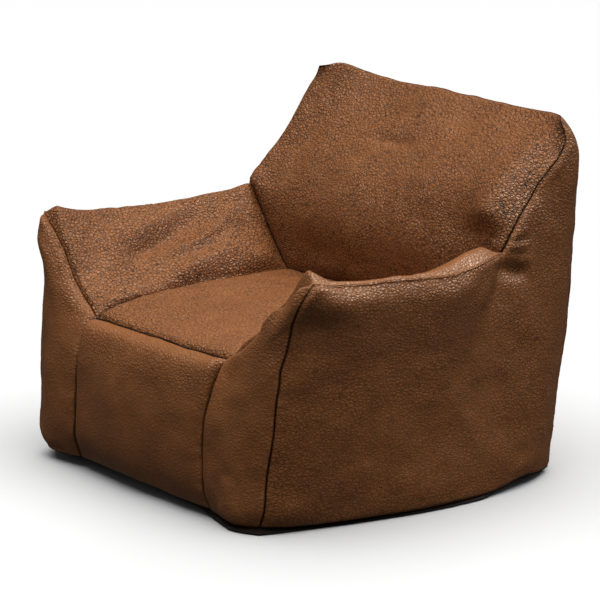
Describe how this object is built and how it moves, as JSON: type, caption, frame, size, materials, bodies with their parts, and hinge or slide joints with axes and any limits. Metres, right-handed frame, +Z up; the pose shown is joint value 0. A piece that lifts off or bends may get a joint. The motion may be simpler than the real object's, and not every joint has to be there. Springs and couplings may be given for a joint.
{
  "type": "bean bag chair",
  "caption": "Armchair-shaped bean bag: sewn brown leatherette cover with a zip low on the back, inner partitions and bead bags under the seat, back and arms",
  "frame": {"origin": "on the floor, under the middle of the chair's box", "axes": "+Z up; the sitter faces -Y; +X is on the right of someone who looks at the chair from the front; the two halves mirror in the plane X = 0"},
  "size_m": [1.0154, 0.988, 0.8053],
  "materials": {
    "cover_leatherette": "pebble-grained brown leatherette, satin",
    "base_cloth": "coarse dark non-slip base cloth, matt",
    "zip_tape": "woven polyester tape",
    "zip_coil": "nylon coil",
    "zip_metal": "dark nickel-plated die casting",
    "baffle_cloth": "plain woven polyester",
    "liner_cloth": "thin white non-woven cloth",
    "liner_zip": "short closed coil zip, no pull",
    "bead_fill": "loose expanded polystyrene beads, 3 to 6 mm"
  },
  "bodies": {
    "chair": {"seat_panel": "cover_leatherette", "seat_front_panel": "cover_leatherette", "backrest_panel": "cover_leatherette", "left_inner_arm_panel": "cover_leatherette", "right_inner_arm_panel": "cover_leatherette", "left_arm_front_panel": "cover_leatherette", "right_arm_front_panel": "cover_leatherette", "left_side_panel": "cover_leatherette", "right_side_panel": "cover_leatherette", "rear_upper_panel": "cover_leatherette", "rear_lower_panel": "cover_leatherette", "base_panel": "base_cloth", "zip_tape_upper": "zip_tape", "zip_tape_lower": "zip_tape", "zip_coil_upper": "zip_coil", "zip_coil_lower": "zip_coil", "zip_closed_end_stop": "zip_metal", "zip_open_end_stop": "zip_metal", "back_baffle": "baffle_cloth", "left_arm_baffle": "baffle_cloth", "right_arm_baffle": "baffle_cloth", "seat_liner": "liner_cloth", "seat_liner_zip": "liner_zip", "seat_fill": "bead_fill", "back_liner": "liner_cloth", "back_liner_zip": "liner_zip", "back_fill": "bead_fill", "left_arm_liner": "liner_cloth", "left_arm_liner_zip": "liner_zip", "left_arm_fill": "bead_fill", "right_arm_liner": "liner_cloth", "right_arm_liner_zip": "liner_zip", "right_arm_fill": "bead_fill"},
    "zip_slider": {"zip_slider": "zip_metal"},
    "zip_pull": {"zip_pull": "zip_metal"}
  },
  "joints": [
    {"name": "zip_travel", "type": "slide", "parent": "chair", "child": "zip_slider", "axis": [1, 0, 0], "range_m": [-0.64, 0]},
    {"name": "pull_flip", "type": "hinge", "parent": "zip_slider", "child": "zip_pull", "pos_m": [0.322, 0.41863, 0.16], "axis": [0, 0, -1], "range_deg": [0, 175]}
  ]
}
